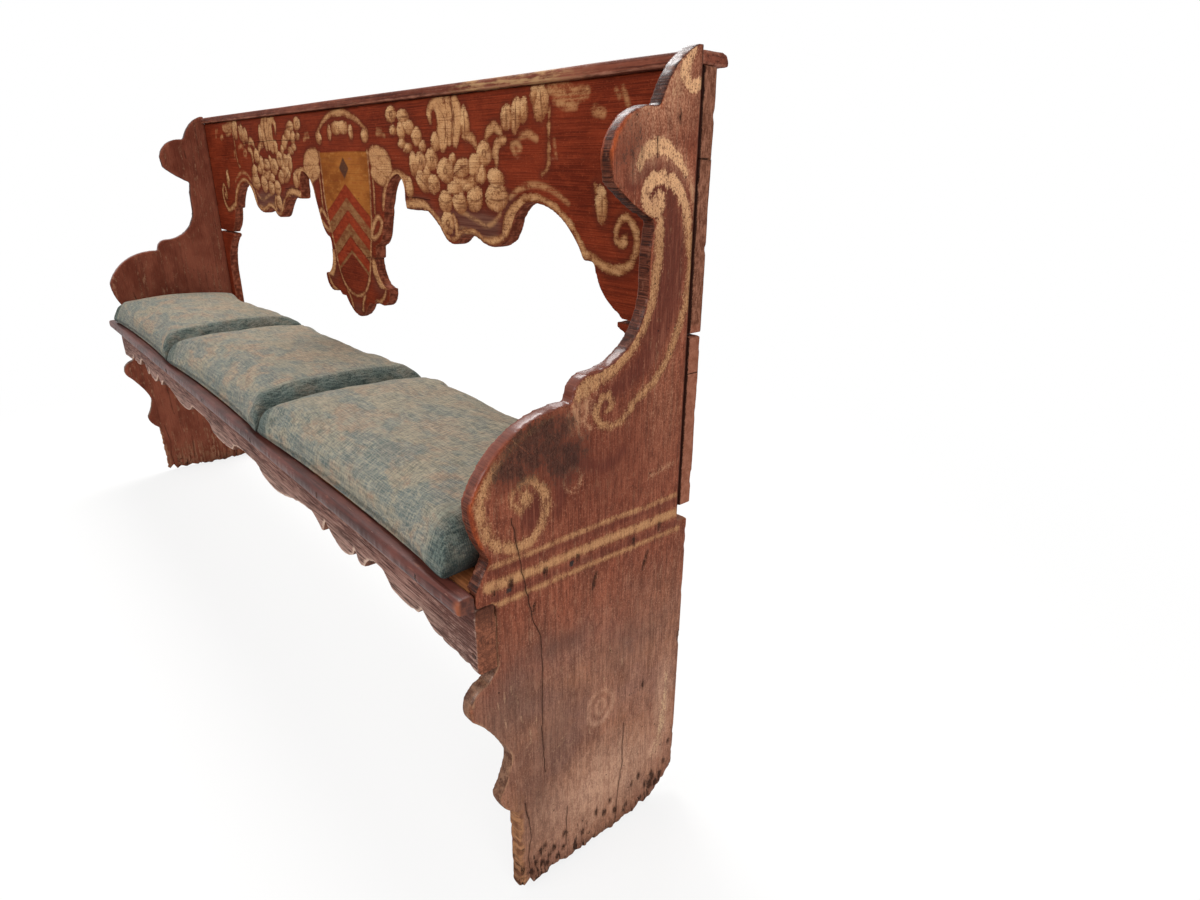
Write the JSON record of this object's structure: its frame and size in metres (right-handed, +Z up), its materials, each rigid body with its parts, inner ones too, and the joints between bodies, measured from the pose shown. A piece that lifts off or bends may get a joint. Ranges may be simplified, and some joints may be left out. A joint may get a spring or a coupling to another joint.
{
  "type": "painted wooden bench",
  "caption": "Long painted plank bench with sawn scroll end panels, an open scalloped back with a pendant crest under a moulded cap, a scalloped apron and loose seat cushions.",
  "frame": {"origin": "on the floor under the middle of the bench, midway between the front of the seat nosing and the rear of the cap", "axes": "+X along the bench to the sitter's left, -Y to the front, +Z up"},
  "size_m": [1.92, 0.382, 1.04],
  "materials": {
    "painted_wood": "worn oxblood tempera paint on softwood with cream ornament",
    "bare_wood": "dark aged softwood",
    "forged_iron": "rusted forged iron",
    "cushion_cloth": "faded blue-green woven cover"
  },
  "bodies": {
    "bench": {"end_panel_right": "painted_wood", "end_panel_left": "painted_wood", "seat_nosing": "painted_wood", "front_apron": "painted_wood", "back_upper_plank": "painted_wood", "back_lower_plank": "painted_wood", "crest_pendant": "painted_wood", "back_stile_right": "painted_wood", "back_stile_left": "painted_wood", "back_cap": "painted_wood", "seat_front_board": "bare_wood", "seat_rear_board": "bare_wood", "rear_seat_rail": "bare_wood", "seat_batten_left": "bare_wood", "seat_batten_middle": "bare_wood", "seat_batten_right": "bare_wood", "back_dowels": "bare_wood", "seat_nails": "forged_iron", "rail_nails": "forged_iron", "apron_nails": "forged_iron", "nosing_nails": "forged_iron", "seat_top_nails": "forged_iron", "back_nails": "forged_iron", "stile_nails": "forged_iron", "cap_nails": "forged_iron"},
    "left_cushion": {"cushion_left": "cushion_cloth"},
    "middle_cushion": {"cushion_middle": "cushion_cloth"},
    "right_cushion": {"cushion_right": "cushion_cloth"}
  },
  "joints": [
    {"name": "lift_left_cushion", "type": "slide", "parent": "bench", "child": "left_cushion", "axis": [0, 0, 1], "range_m": [0, 0.3]},
    {"name": "lift_middle_cushion", "type": "slide", "parent": "bench", "child": "middle_cushion", "axis": [0, 0, 1], "range_m": [0, 0.3]},
    {"name": "lift_right_cushion", "type": "slide", "parent": "bench", "child": "right_cushion", "axis": [0, 0, 1], "range_m": [0, 0.3]}
  ]
}
